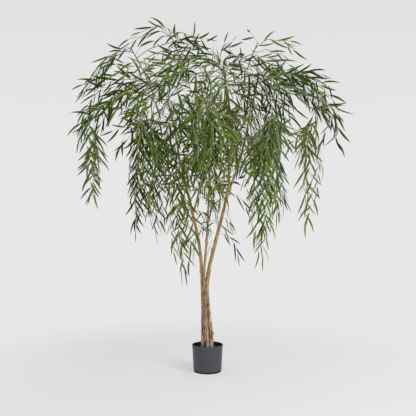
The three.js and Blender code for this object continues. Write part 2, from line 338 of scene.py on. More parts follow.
def rounded(corners, radius, steps=4):
    """An outline whose corners, all but the first and last, are rounded off."""
    made = [corners[0]]
    for before, at, after in zip(corners, corners[1:], corners[2:]):
        before, at, after = (np.array(p, float) for p in (before, at, after))
        back, ahead = np.linalg.norm(before - at), np.linalg.norm(after - at)
        reach = min(radius, back / SIDE_PARTS, ahead / SIDE_PARTS)
        start = at + reach * (before - at) / back
        end = at + reach * (after - at) / ahead
        for t in np.linspace(0, 1, steps):
            made.append(tuple((1 - t) ** 2 * start + 2 * t * (1 - t) * at + t * t * end))
    return made + [corners[-1]]


# %% Pot
POT_WALL = 0.0026
LIP_OUT = 0.0016
LIP_HEIGHT = 0.007
FOOT_BAND = 0.009
FOOT_STEP = 0.0018
FLOOR_THICK = 0.0035
EDGE = 0.0009
BAND_DROP = 0.021
BAND_STEP = 0.0011
FOOT_SHARE = 0.167 / 0.185  # the foot's width as a share of the rim's
POT_SIDES = 120

pot_low, pot_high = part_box("pot")
rim = (pot_high.x - pot_low.x) / 2
foot = FOOT_SHARE * rim
top = pot_high.z


def wall_at(level):
    """Radius of the outside of the pot's wall."""
    return foot + (rim - LIP_OUT - foot) * level / top


POT_OUTLINE = [
    (0, 0),
    (foot - FOOT_STEP, 0),
    (wall_at(FOOT_BAND) - FOOT_STEP, FOOT_BAND),
    (wall_at(FOOT_BAND), FOOT_BAND + FOOT_STEP),
    (wall_at(top - BAND_DROP), top - BAND_DROP),
    (wall_at(top - BAND_DROP) + BAND_STEP, top - BAND_DROP + 2 * BAND_STEP),
    (wall_at(top - LIP_HEIGHT) + BAND_STEP, top - LIP_HEIGHT),
    (rim, top - LIP_HEIGHT + LIP_OUT),
    (rim, top),
    (rim - LIP_OUT - POT_WALL, top),
    (foot - FOOT_STEP - POT_WALL, FLOOR_THICK),
    (0, FLOOR_THICK),
]
plastic = toned_material("slate_plastic", pale=(0.052, 0.057, 0.066), dark=(0.040, 0.044, 0.051), scale=260,
                         roughness=(0.42, 0.55), bump=0.25, bump_depth=0.0003, detail=2.0)
# The inner face of the wall is near black: painted shade, as the inside of the pot lies in shadow.
inside = toned_material("pot_inside", pale=(0.014, 0.014, 0.015), dark=(0.006, 0.006, 0.007), scale=120,
                        roughness=(0.8, 0.95), gloss=0.2)
pot = lathe("pot_shell", rounded(POT_OUTLINE, EDGE), POT_SIDES, plastic)
pot.data.materials.append(inside)
# Faces inside the wall take the near-black painted shade.
for face in pot.data.polygons:
    centre = face.center
    if centre.z > FLOOR_THICK / 2 and centre.xy.length < wall_at(centre.z) - POT_WALL / 2:
        face.material_index = 1
finish_piece(pot, "pot", "pot")
print("pot:", round(2 * rim, 4), "m across the rim,", round(top, 4), "m high")

# %% Cement fill
CEMENT_RINGS = 22
CEMENT_SIDES = 84
CEMENT_FOOT = 0.92  # the width of the underside as a share of the face's
CEMENT_LUMP = 0.0016
LUMP_SIZES = (0.03, 0.013, 0.007)
WAVES_EACH = 3
WAVE_REACH = 2.2  # divides the sum of the waves, which brings it to about -1 to 1


def waves(points, sizes, seed):
    """A smooth uneven value, about -1 to 1, at each point: a few waves in seeded directions."""
    roll = np.random.default_rng(seed)
    value = np.zeros(len(points))
    for size in sizes:
        for _ in range(WAVES_EACH):
            heading = roll.normal(size=3)
            heading /= np.linalg.norm(heading)
            value += np.sin(2 * math.pi * (points @ heading) / size + roll.uniform(0, 2 * math.pi))
    return value / (WAVE_REACH * math.sqrt(len(sizes)))


fill_low, fill_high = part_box("pot_fill")
fill_radius = (fill_high.x - fill_low.x) / 2
cement_outline = [(0, fill_low.z), (fill_radius * CEMENT_FOOT, fill_low.z)]
cement_outline += [(fill_radius * (1 - t), fill_high.z) for t in np.linspace(0, 1, CEMENT_RINGS)]
cement_paint = toned_material("cement_paint", pale=(0.030, 0.027, 0.024), dark=(0.008, 0.007, 0.006),
                              scale=240, roughness=(0.85, 0.98), bump=0.6, bump_depth=0.0012)
cement = lathe("cement_fill", cement_outline, CEMENT_SIDES, cement_paint)
cement_points = np.array([v.co for v in cement.data.vertices])
on_face = cement_points[:, 2] > fill_high.z - 1e-6
sink = CEMENT_LUMP * (waves(cement_points, LUMP_SIZES, SEED) - 1.0)
cement_points[on_face, 2] += sink[on_face]
cement.data.vertices.foreach_set("co", cement_points.ravel())
finish_piece(cement, "fill", "pot_fill")
print("cement face at", round(fill_high.z, 4), "m, radius", round(fill_radius, 4), "m")

# %% [markdown]
# ## Where the limbs and masses run
#
# Everything that grows follows a middle line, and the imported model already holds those
# lines: cutting a solid straight across at many places gives a chain of middles and half
# widths. One function does this for the round limbs and for the masses of foliage, so no
# place is typed in again.


# %% Cutting a solid
def unit(vector):
    return vector / max(np.linalg.norm(vector), 1e-9)


def node_mesh(name):
    """Points and triangles of a CAD node."""
    data = frame["nodes"][name].data
    points = np.empty(len(data.vertices) * 3)
    data.vertices.foreach_get("co", points)
    data.calc_loop_triangles()
    faces = np.empty(len(data.loop_triangles) * 3, int)
    data.loop_triangles.foreach_get("vertices", faces)
    return points.reshape(-1, 3), faces.reshape(-1, 3)


def cut_points(points, faces, axis, level):
    """Where a flat cut, square to axis, meets the edges of the faces."""
    height = points @ axis - level
    found = []
    for a, b in ((0, 1), (1, 2), (2, 0)):
        first, second = faces[:, a], faces[:, b]
        crossing = (height[first] < 0) != (height[second] < 0)
        first, second = first[crossing], second[crossing]
        share = height[first] / (height[first] - height[second])
        found.append(points[first] + share[:, None] * (points[second] - points[first]))
    return np.concatenate(found)


def sections(name, axis, across, count):
    """Middles, half widths and half depths of a node at `count` levels along axis."""
    points, faces = node_mesh(name)
    across = unit(across - axis * (across @ axis))
    face = np.cross(axis, across)
    reach = points @ axis
    rows = []
    for level in np.linspace(reach.min(), reach.max(), count + 2)[1:-1]:
        cut = cut_points(points, faces, axis, level)
        spread, depth = cut @ across, cut @ face
        aside = across * (spread.max() + spread.min()) / 2
        middle = axis * level + aside + face * (depth.max() + depth.min()) / 2
        rows.append((*middle, np.ptp(spread) / 2, np.ptp(depth) / 2))
    rows = np.array(rows)
    return {"middle": rows[:, :3], "wide": rows[:, 3], "deep": rows[:, 4],
            "across": np.tile(across, (count, 1)), "face": np.tile(face, (count, 1))}


# %% Limb lines
CUT_EVERY = 0.035

slot_of = {part["node"]: part["material_slot"] for part in frame["record"]["subparts"]}
LIMBS = [name for name, slot in slot_of.items() if slot in ("bark", "twig")]
MASSES = [name for name, slot in slot_of.items() if slot == "leaves"]


def limb_line(name):
    """Middle line and radii of a limb from foot to tip, carried on to its two ends."""
    low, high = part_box(name)
    count = max(6, round((high.z - low.z) / CUT_EVERY))
    cut = sections(name, UP, np.array([1.0, 0.0, 0.0]), count)
    middle = cut["middle"]
    radius = (cut["wide"] + cut["deep"]) / 2
    foot = middle[0] + (middle[0] - middle[1]) * (middle[0, 2] - low.z) / (middle[1, 2] - middle[0, 2])
    tip = middle[-1] + (middle[-1] - middle[-2]) * (high.z - middle[-1, 2]) / (middle[-1, 2] - middle[-2, 2])
    lean = np.gradient(middle, axis=0)
    slant = np.abs(lean[:, 2]) / np.linalg.norm(lean, axis=1)  # a level cut across a leaning limb is long
    radius = radius * 2 * slant / (1 + slant)
    return np.vstack([foot, middle, tip]), np.concatenate([radius[:1], radius, radius[-1:]])


limb_lines = {name: limb_line(name) for name in LIMBS}
for name, (line, radius) in limb_lines.items():
    print(f"{name}: {len(line)} points, {2000 * radius[0]:.1f} to {2000 * radius[-1]:.1f} mm thick")

# %% [markdown]
# ## Bark on the stems and boughs
#
# A stem is a peeled stick: nearly round, but with long grooves, soft lumps and a few knots
# where side branches were cut off. A tube could be pushed about by hand. Here Geometry Nodes
# sweeps a circle along the middle line, and noise that is stretched along the stem moves the
# surface in and out, so the relief is real geometry. Each knot is a value on the line that
# swells one side of the tube.


# %% Building and running a Geometry Nodes tree
FLOAT, COUNT = "NodeSocketFloat", "NodeSocketInt"
MATERIAL, OBJECT = "NodeSocketMaterial", "NodeSocketObject"


def new_tree(name, inputs):
    """A Geometry Nodes tree with named inputs. Returns the tree and what it is given."""
    tree = bpy.data.node_groups.new(name, "GeometryNodeTree")
    tree.interface.new_socket("Geometry", in_out="INPUT", socket_type="NodeSocketGeometry")
    tree.interface.new_socket("Geometry", in_out="OUTPUT", socket_type="NodeSocketGeometry")
    for label, kind in inputs.items():
        tree.interface.new_socket(label, in_out="INPUT", socket_type=kind)
    return tree, add_node(tree, "NodeGroupInput").outputs


def end_tree(tree, geometry, material):
    """Ends a tree: realizes what it made, gives it its material and puts it out."""
    realized = add_node(tree, "GeometryNodeRealizeInstances", {0: geometry}).outputs[0]
    paint = add_node(tree, "GeometryNodeSetMaterial", {"Geometry": realized, "Material": material})
    add_node(tree, "NodeGroupOutput", {0: paint.outputs[0]})


def grow_mesh(source, tree, values):
    """Runs a tree on an object and leaves the result in it as a plain mesh."""
    modifier = source.modifiers.new("grow", "NODES")
    modifier.node_group = tree
    for socket in tree.interface.items_tree:
        if socket.item_type == "SOCKET" and socket.name in values:
            modifier[socket.identifier] = values[socket.name]
    evaluated = source.evaluated_get(bpy.context.evaluated_depsgraph_get())
    mesh = bpy.data.meshes.new_from_object(evaluated)
    source.modifiers.remove(modifier)
    source.data = mesh
    mesh.name = source.name
    return source


def path_object(name, paths):
    """Paths as one mesh of edges. Each further array of a path becomes a point attribute."""
    edges = []
    start = 0
    for path in paths:
        count = len(path["points"])
        edges += [(i, i + 1) for i in range(start, start + count - 1)]
        start += count
    made = mesh_object(name, np.vstack([path["points"] for path in paths]), [], edges=edges)
    for label in paths[0]:
        if label == "points":
            continue
        values = np.concatenate([path[label] for path in paths]).astype(np.float32)
        kind, field = ("FLOAT_VECTOR", "vector") if values.ndim == 2 else ("FLOAT", "value")
        made.data.attributes.new(label, kind, "POINT").data.foreach_set(field, values.ravel())
    return made


def math_node(tree, operation, *values):
    """A Math node on sockets or numbers. Returns its output."""
    return add_node(tree, "ShaderNodeMath", dict(enumerate(values)), operation=operation).outputs[0]


def times(tree, first, second):
    return math_node(tree, "MULTIPLY", first, second)


def scaled(tree, vector, factor):
    """A vector times a socket or number."""
    return add_node(tree, "ShaderNodeVectorMath", {0: vector, "Scale": factor}, operation="SCALE").outputs[0]


def attribute(tree, name, kind="FLOAT"):
    """Reads a named attribute."""
    return add_node(tree, "GeometryNodeInputNamedAttribute", {"Name": name}, data_type=kind).outputs[0]


def curves_of(tree, lines, step=None):
    """Lines as curves, with points an even step apart where a step is given."""
    curves = add_node(tree, "GeometryNodeMeshToCurve", {0: lines}).outputs[0]
    if step is None:
        return curves
    even = add_node(tree, "GeometryNodeResampleCurve", {"Curve": curves, "Length": step}, mode="LENGTH")
    return even.outputs[0]


def tubes_along(tree, curves, sides):
    """Closed tubes along curves. Their radius is the attribute "thick"."""
    circle = add_node(tree, "GeometryNodeCurvePrimitiveCircle", {"Resolution": sides, "Radius": 1.0})
    return add_node(tree, "GeometryNodeCurveToMesh", {
        "Curve": curves, "Profile Curve": circle.outputs["Curve"], "Scale": attribute(tree, "thick"),
        "Fill Caps": True}).outputs[0]


def shaded_smooth(tree, geometry):
    return add_node(tree, "GeometryNodeSetShadeSmooth", {0: geometry}).outputs[0]


# %% The bark tree
GROOVE_STRETCH = (115.0, 115.0, 9.0)
LUMP_STRETCH = (34.0, 34.0, 15.0)
KNOT_EDGE = 3.0  # how sharply a knot ends at its sides


def bark_tree():
    tree, given = new_tree("bark_along_a_limb", {
        "Ring step": FLOAT, "Sides": COUNT, "Groove depth": FLOAT, "Lump depth": FLOAT,
        "Knot height": FLOAT, "Bark": MATERIAL})
    tube = tubes_along(tree, curves_of(tree, given["Geometry"], given["Ring step"]), given["Sides"])

    place = add_node(tree, "GeometryNodeInputPosition").outputs[0]
    outward = add_node(tree, "GeometryNodeInputNormal").outputs[0]
    heights = []
    for label, stretch, detail in (("Groove depth", GROOVE_STRETCH, 2.0), ("Lump depth", LUMP_STRETCH, 1.0)):
        noise = add_node(tree, "ShaderNodeTexNoise", {
            "Vector": vector_node(tree, "MULTIPLY", place, stretch), "Scale": 1.0, "Detail": detail})
        centred = math_node(tree, "SUBTRACT", noise.outputs["Fac"], 0.5)
        heights.append(times(tree, centred, given[label]))
    facing = vector_node(tree, "DOT_PRODUCT", outward, attribute(tree, "knot_side", "FLOAT_VECTOR"))
    one_side = math_node(tree, "POWER", math_node(tree, "MAXIMUM", facing, 0.0), KNOT_EDGE)
    knot = times(tree, one_side, attribute(tree, "knot"))
    heights.append(times(tree, knot, given["Knot height"]))
    height = math_node(tree, "ADD", math_node(tree, "ADD", heights[0], heights[1]), heights[2])

    move = scaled(tree, outward, times(tree, height, attribute(tree, "thick")))
    relief = add_node(tree, "GeometryNodeSetPosition", {"Geometry": tube, "Offset": move})
    end_tree(tree, shaded_smooth(tree, relief.outputs[0]), given["Bark"])
    return tree


BARK_TREE = bark_tree()

# %% [markdown]
# The bark is dry and tan at the foot, smoother and golden where the stems part, and redder
# and darker up in the boughs. Its grooves are dark brown, with paler scuffed ridges between
# them, and it has darker spots. The colour has to follow the height, so the material mixes
# three two-tone groups by Object Z. A finer one then darkens the grooves, more so low down,
# and a last one the spots.


# %% Bark material
GOLDEN_SPAN = (0.38, 0.62)  # the heights over which the bark turns golden
REDDER_SPAN = (1.15, 1.60)  # the heights over which it then turns redder
DEPTH_LOST = 0.5  # how much of their darkness grooves and spots lose above the foot


def bark_material():
    material = toned_material("dry_bark", pale=(0.56, 0.405, 0.255), dark=(0.29, 0.19, 0.11), scale=1.0,
                              stretch=(38, 38, 7), span=(0.38, 0.62), roughness=(0.72, 0.9), gloss=0.25)
    tree = material.node_tree
    shader = tree.nodes["Principled BSDF"]
    place = tree.nodes["Texture Coordinate"].outputs["Object"]

    def tones(pale, dark, stretch, span):
        return tones_of(tree, place, pale, dark, stretch=stretch, span=span)

    golden = tones((0.57, 0.385, 0.21), (0.34, 0.215, 0.112), (45, 45, 9), (0.35, 0.65))
    redder = tones((0.40, 0.235, 0.13), (0.19, 0.10, 0.055), (60, 60, 14), (0.38, 0.62))
    grooves = tones((1, 1, 1), (0.26, 0.20, 0.15), (170, 170, 22), (0.39, 0.52))
    spots = tones((1, 1, 1), (0.30, 0.23, 0.17), (95, 95, 60), (0.33, 0.42))
    height = add_node(tree, "ShaderNodeSeparateXYZ", {0: place}).outputs["Z"]
    above_foot = eased(tree, height, *GOLDEN_SPAN)
    colour = shader.inputs["Base Color"].links[0].from_socket
    colour = mixed(tree, above_foot, colour, golden["Color"])
    colour = mixed(tree, eased(tree, height, *REDDER_SPAN), colour, redder["Color"])
    depth = math_node(tree, "SUBTRACT", 1.0, times(tree, above_foot, DEPTH_LOST))
    for marks in (grooves, spots):
        colour = mixed(tree, depth, colour, marks["Color"], blend="MULTIPLY")
    fill_in(tree, shader, {"Base Color": colour})
    add_bump(tree, shader, grooves["Mask"], strength=0.6, depth=0.0012)
    return material


BARK = bark_material()

# %% Stems and boughs
RING_STEP = 0.006
SIDES = 26
GROOVE_DEPTH = 0.34
LUMP_DEPTH = 0.30
KNOT_HEIGHT = 0.55
KNOT_LENGTH = 0.011
KNOT_EVERY = 0.17
KNOT_SHIFT = 0.04
KNOT_FROM = 0.02  # a point is part of a knot where it is more than this far into it
KNOT_RISE = 0.15  # a knot's side points up a little
LINE_STEP = 0.004
JOINT_REACH = 0.03  # a bough starts this far inside the limb that bears it


def run_along(points):
    """How far along a line each of its points is."""
    return np.concatenate([[0], np.cumsum(np.linalg.norm(np.diff(points, axis=0), axis=1))])


def knots_on(line, roll):
    """For each point of a line, how far it is into a knot (0 to 1), and the knot's side."""
    run = run_along(line)
    swell = np.zeros(len(line))
    side = np.tile([1.0, 0.0, 0.0], (len(line), 1))
    for centre in np.arange(KNOT_EVERY * roll.uniform(0.4, 0.9), run[-1], KNOT_EVERY):
        turn = roll.uniform(0, 2 * math.pi)
        near = np.exp(-(((run - centre - roll.uniform(-KNOT_SHIFT, KNOT_SHIFT)) / KNOT_LENGTH) ** 2))
        side[near > KNOT_FROM] = (math.cos(turn), math.sin(turn), KNOT_RISE)
        swell = np.maximum(swell, near * roll.uniform(0.5, 1.0))
    return swell, side


def even_line(points, values, step):
    """A line and a value along it, with its points put an even step apart."""
    run = run_along(points)
    at = np.linspace(0, run[-1], max(3, int(run[-1] / step)))
    return np.column_stack([np.interp(at, run, points[:, k]) for k in range(3)]), np.interp(at, run, values)


def smoothed(points, passes=4):
    """A line with its small kinks eased out and its two ends kept."""
    points = points.copy()
    for _ in range(passes):
        points[1:-1] = (points[:-2] + 2 * points[1:-1] + points[2:]) / 4
    return points


limb_roll = np.random.default_rng(SEED)
for name, (line, radius) in limb_lines.items():
    if slot_of[name] == "twig":
        continue
    if "stem" not in name:
        line = np.vstack([line[0] - JOINT_REACH * unit(line[1] - line[0]), line])
        radius = np.concatenate([radius[:1], radius])
    line, radius = even_line(smoothed(line), radius, LINE_STEP)
    swell, side = knots_on(line, limb_roll)
    path = {"points": line, "thick": radius, "knot": swell, "knot_side": side}
    piece = grow_mesh(path_object(name + "_bark", [path]), BARK_TREE, {
        "Ring step": RING_STEP, "Sides": SIDES, "Groove depth": GROOVE_DEPTH, "Lump depth": LUMP_DEPTH,
        "Knot height": KNOT_HEIGHT, "Bark": BARK})
    finish_piece(piece, "bark", name)

# %% [markdown]
# ## The run of each mass of foliage
#
# A mass is a bundle of shoots that all run the same way: outwards over an arch, up, or
# straight down. Its run is found as for a limb, but the cuts are square to its length, where
# a limb's are level. The length is looked for in the upright plane in which the mass hangs,
# because some masses are wider than they are long. The two halves of an arching mass are put
# end to end.

# %% Mass lines
CUTS_PER_NODE = 7
RISING = ("top_middle", "heart_back")


def flow_of(base):
    """Which way the shoots of a mass run."""
    if base in RISING:
        return "up"
    return "out" if "shoulder" in base or "top" in base else "down"


def run_of(node, flow, outward):
    """The direction in which a node's shoots run: its length in its upright plane."""
    points, _ = node_mesh(node)
    flat = np.column_stack([points @ outward, points[:, 2]])
    _, _, directions = np.linalg.svd(flat - flat.mean(0), full_matrices=False)
    along = directions[0, 0] * outward + directions[0, 1] * UP
    wanted = {"out": outward, "up": UP, "down": -UP}[flow]
    return unit(along if along @ wanted > 0 else -along)


def mass_line(base, nodes):
    """The middle line, half widths and half depths of a mass, from its start to its end."""
    corners = np.array([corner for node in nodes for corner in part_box(node)])
    centre = (corners.min(0) + corners.max(0)) / 2
    outward = unit(centre * (1, 1, 0))
    across = np.cross(UP, outward)
    flow = flow_of(base)
    cuts = [sections(node, run_of(node, flow, outward), across, CUTS_PER_NODE) for node in nodes]
    mass = {label: np.concatenate([cut[label] for cut in cuts]) for label in cuts[0]}
    steps = np.linalg.norm(np.diff(mass["middle"], axis=0), axis=1)
    mass["at"] = np.concatenate([[0], np.cumsum(steps)]) / steps.sum()
    mass.update(base=base, flow=flow, length=steps.sum())
    return mass


groups = {}
for node in MASSES:
    base = node.removeprefix("leaves_").removesuffix("_rise").removesuffix("_fall")
    groups.setdefault(base, []).append(node)
masses = [mass_line(base, nodes) for base, nodes in groups.items()]
for mass in masses:
    size = f"{mass['length']:.2f} m long, {2 * mass['wide'].max():.2f} m wide"
    print(f"{mass['base']}: runs {mass['flow']}, {size}")

# %% [markdown]
# ## The branching rule
#
# Shoots are added in the order in which the tree is put together. First the arching shoots
# leave the limbs and run through the masses of the upper crown. Each gives off side shoots
# that bow down under their own weight. Then the long hanging shoots leave the arching ones
# and fall through the curtains. Every main shoot starts at one of the nearest places on wood
# or wire, above it where it hangs, so nothing floats. All the rolls of the dice come from one
# seeded stream.

# %% Lanes through a mass
EDGE_ROOM = 0.014  # a lane keeps this far inside the face of its mass
NARROWEST = 0.78  # a bundle of shoots narrows less at its ends than its solid does
GOLDEN_TURN = math.pi * (3 - math.sqrt(5))

roll = np.random.default_rng(SEED)


def along_mass(mass, label, t):
    """A value of a mass at the places t, 0 at its start and 1 at its end."""
    values = mass[label]
    if values.ndim == 1:
        return np.interp(t, mass["at"], values)
    return np.column_stack([np.interp(t, mass["at"], values[:, k]) for k in range(3)])


def lane(mass, side, depth, start, end, count=9):
    """A line through a mass that keeps to one side (-1 to 1) and one depth (-1 to 1) of it."""
    t = np.linspace(start, end, count)
    half = {}
    for label in ("wide", "deep"):
        width = np.maximum(along_mass(mass, label, t), NARROWEST * mass[label].max())
        half[label] = (width - EDGE_ROOM)[:, None]
    offset = side * half["wide"] * along_mass(mass, "across", t)
    offset = offset + depth * half["deep"] * along_mass(mass, "face", t)
    return along_mass(mass, "middle", t) + offset


def spread_out(count):
    """Evenly spread places in a round section, as the seeds of a sunflower are."""
    turn = roll.uniform(0, 2 * math.pi)
    for i in range(count):
        reach = math.sqrt((i + 0.5) / count)
        yield reach, reach * math.cos(turn + i * GOLDEN_TURN), reach * math.sin(turn + i * GOLDEN_TURN)


# %% Paths of shoots
STEP = 0.014
WANDER = 0.012
WANDER_TURNS = (1.3, 2.7, 4.9)
UNSTEADY = 0.035  # how far chance turns a drooping shoot at each step
FACE_ROOM = 0.045  # shoots stop this far inside the model's box, and leaves make up the rest
BOW = 0.42  # how far a bowed line keeps to its two headings, as a share of its length
BOW_POINTS = 12
box_low, box_high = np.array(cad_box)


def bowed(start, heading, end, end_heading):
    """A smooth curve from one point and heading to another."""
    reach = BOW * np.linalg.norm(end - start)
    t = np.linspace(0, 1, BOW_POINTS)[:, None]
    first, second = start + reach * unit(heading), end - reach * unit(end_heading)
    return (1 - t) ** 3 * start + 3 * t * (1 - t) ** 2 * first + 3 * t * t * (1 - t) * second + t**3 * end


def wandering(points):
    """Adds a slow seeded wander that grows along a line, as hand-bent wire has."""
    t = np.linspace(0, 1, len(points))[:, None]
    drift = np.zeros_like(points)
    for turns in WANDER_TURNS:
        drift += roll.normal(size=3) * np.sin(2 * math.pi * turns * t + roll.uniform(0, 2 * math.pi)) / turns
    return points + WANDER * drift * np.minimum(1, 3 * t)


def tangents(points):
    lean = np.gradient(points, axis=0)
    return lean / np.maximum(np.linalg.norm(lean, axis=1, keepdims=True), 1e-9)


def sideways_at_random(heading):
    """A level-ish direction square to a heading."""
    turn = roll.uniform(0, 2 * math.pi)
    loose = np.array([math.cos(turn), math.sin(turn), roll.uniform(-0.3, 0.3)])
    return unit(loose - heading * (loose @ heading))


def inside_box(points):
    """The first part of a line, up to where it would leave the model's box."""
    inside = ((points > box_low + FACE_ROOM) & (points < box_high - FACE_ROOM)).all(axis=1)
    return points if inside.all() else points[: int(np.argmin(inside))]


# %% How shoots are clad
# First the leaves: their lean from the wire in degrees, how far they droop, the share of them
# kept and their size. Then the side shoots: one in so many metres, their longest and shortest,
# the least and most spread in degrees, how fast they bow down, how far they rise, and up to
# which share of the shoot they are given off. A tuft gives off none.
HABITS = {
    "hanging": {"lean": 30, "droop": 0.03, "kept": 0.97, "size": 1.06, "every": 0.34, "long": 0.26,
                "short": 0.10, "spread": (12, 28), "sag": 1.6, "rise": 0.0, "until": 0.62},
    "arching": {"lean": 31, "droop": 0.12, "kept": 0.96, "size": 1.12, "every": 0.125, "long": 0.30,
                "short": 0.14, "spread": (14, 36), "sag": 3.2, "rise": 0.0, "until": 1.0},
    "bushy": {"lean": 35, "droop": 0.08, "kept": 0.95, "size": 1.10, "every": 0.09, "long": 0.21,
              "short": 0.11, "spread": (30, 62), "sag": 1.8, "rise": 0.1, "until": 1.0},
    "upright": {"lean": 31, "droop": 0.06, "kept": 0.94, "size": 1.0, "every": 0.10, "long": 0.20,
                "short": 0.09, "spread": (20, 48), "sag": 1.8, "rise": 0.08, "until": 1.0},
    "plume": {"lean": 28, "droop": 0.10, "kept": 0.94, "size": 1.0, "every": 0.24, "long": 0.20,
              "short": 0.10, "spread": (12, 26), "sag": 3.0, "rise": 0.0, "until": 0.8},
    "tuft": {"lean": 28, "droop": 0.20, "kept": 0.9, "size": 0.85},
}

# Where foliage hangs before other foliage, a mass or limb keeps only this share of its leaves.
FULLNESS = {
    "heart_left": 0.9, "heart_right": 0.85, "heart_back": 0.85, "back_inner": 0.85, "front_inner": 0.85,
    "front_curtain": 0.9, "front_shoulder": 0.85, "top_right": 0.7, "front_right_shoulder": 0.75,
    "back_right_shoulder": 0.95, "front_left_shoulder": 0.75, "back_left_shoulder": 0.95,
    "front_left_inner": 0.7, "left_inner": 0.8, "leader": 0.7, "top_left_plume": 0.7,
}


FEWEST_POINTS = 4


def add_shoot(points, thick, bare, kind, habit, facing, base, turning=0.0):
    """A shoot: its line, its wire's radii, the share of it that is bare, and how it is clad.

    Its leaves lie square to facing at its foot, and turn slowly round the wire from there on. A
    shoot that the model's box cuts too short is left out.
    """
    points = inside_box(points)
    if len(points) < FEWEST_POINTS:
        return None
    points, _ = even_line(points, np.zeros(len(points)), STEP)
    along = np.linspace(0, 1, len(points))
    facing = unit(facing)
    sideways = unit(np.cross(facing, points[-1] - points[0]))
    turned = turning * along[:, None]
    manner = HABITS[habit]
    every = np.ones(len(points))
    shoot = {
        "points": points, "habit": habit, "kind": kind,
        "thick": thick[0] + (thick[1] - thick[0]) * along,
        "leafy": FULLNESS.get(base, 1.0) * manner["kept"] * (along >= bare),
        "lean": math.radians(manner["lean"]) * every, "droop": manner["droop"] * every,
        "size": manner["size"] * every, "facing": np.cos(turned) * facing + np.sin(turned) * sideways,
    }
    shoots.append(shoot)
    return shoot


# %% Where a shoot sets off, and how it droops
LOW_COST = 2.5  # how much a hanging shoot minds each metre that it would have to climb
HIGH_COST = 0.6  # how much any other shoot minds each metre that it would have to fall
CLEAR_FALL = 0.03
NEAREST = 5  # a shoot takes any of so many of the nearest places


def bearer_for(goal, bearers, fall):
    """The point on existing wood or wire that a shoot to goal leaves from, and its heading."""
    way = goal - bearers["place"]
    climb = way[:, 2]
    cost = np.linalg.norm(way, axis=1)
    wrong_way = LOW_COST * np.maximum(0, climb + CLEAR_FALL) if fall else HIGH_COST * np.maximum(0, -climb)
    cost = cost + wrong_way
    pick = roll.choice(np.argsort(cost)[:NEAREST])
    return bearers["place"][pick], bearers["heading"][pick]


def add_bearers(bearers, points, every=2):
    """Lets later shoots start along these points."""
    bearers["place"] = np.vstack([bearers["place"], points[::every]])
    bearers["heading"] = np.vstack([bearers["heading"], tangents(points)[::every]])


def drooping(start, heading, length, sag):
    """A side shoot that sets off in its heading and bows down as it goes."""
    points = [start]
    for _ in range(max(3, int(length / STEP))):
        heading = unit(heading - sag * STEP * UP + UNSTEADY * roll.normal(size=3))
        points.append(points[-1] + STEP * heading)
    return np.array(points)


# %% [markdown]
# The leaves of one spray share a colour: deep green, mid green, yellow-green, grey-green or a
# dull dark green. The yellow-green is partly the cloth's own tint and partly a painted highlight
# where light falls on or through the leaves. The grey-green is partly the cloth's paler back and
# partly a painted sheen where the satin cloth reflects the light. Which one a shoot gets is drawn
# with odds that depend on the part of the tree: deep green is commonest high up, yellow-green
# and grey-green, with their painted highlight and sheen, on the inner right.

# %% Colours by spray
# The third colour is yellow-green with a painted highlight, and the fourth is grey-green with a painted
# sheen.
COLOURS = ("deep", "mid", "bright", "grey", "dull")
ODDS = {
    "usual": (0.26, 0.36, 0.22, 0.05, 0.11),
    "high": (0.36, 0.38, 0.06, 0.07, 0.13),
    # On the inner right, the yellow-green and grey-green carry much of the painted highlight and sheen.
    "inner_right": (0.07, 0.30, 0.38, 0.21, 0.04),
    "left": (0.31, 0.34, 0.22, 0.03, 0.10),
    "front": (0.30, 0.42, 0.15, 0.01, 0.12),
}


def colour_for(base):
    if base in ("right_inner", "front_right_inner", "heart_right", "front_right_shoulder"):
        part = "inner_right"
    elif "top" in base or "shoulder" in base:
        part = "high"
    elif base in ("front_curtain", "front_inner"):
        part = "front"
    else:
        part = "left" if "left" in base else "usual"
    return str(roll.choice(COLOURS, p=ODDS[part]))


# %% How many main shoots each mass gets
MAINS = {"shoulder": 5, "curtain": 5, "inner": 6, "low": 6, "heart": 5}
MAINS_OF = {"top_left_plume": 2, "top_left_arch": 2, "top_middle": 1, "top_right_plume": 1, "top_left": 2,
            "top_right": 2, "left_curtain": 6, "front_curtain": 4, "right_curtain": 2, "right_low_curtain": 4,
            "front_left_shoulder": 3, "back_left_shoulder": 3, "front_right_shoulder": 4,
            "back_right_shoulder": 4, "back_shoulder": 4}
PLUMES = ("top_left_plume", "top_right_plume", "top_left_arch", "top_middle")


def mains_in(base):
    if base in MAINS_OF:
        return MAINS_OF[base]
    return next(count for word, count in MAINS.items() if word in base)


def habit_of(mass):
    if mass["base"] in PLUMES:
        return "plume"
    if "top" in mass["base"]:
        return "upright"
    if "heart" in mass["base"] or mass["base"] == "front_shoulder":
        return "bushy"
    return "hanging" if mass["flow"] == "down" else "arching"


# %% Arching and hanging shoots
ARCH_WIRE = (0.0025, 0.0010)
HANG_WIRE = (0.0012, 0.0007)
SIDE_WIRE = (0.0010, 0.0006)
TO_FRONT = np.array([0.0, -1.0, 0.0])
LIFT_OFF = 0.35  # how far a shoot that does not hang turns upwards as it leaves its limb
LATE_START = 0.12  # the most that a main shoot starts late, as a share of its mass
EARLY_END = {True: 0.42, False: 0.16}  # the most that it ends early, where it hangs and where not
TURNING = 1.2  # how far the leaves turn round the wire from foot to tip, in radians
BARE_LEAD = 0.25  # the share of its way to its mass on which a shoot carries no leaves
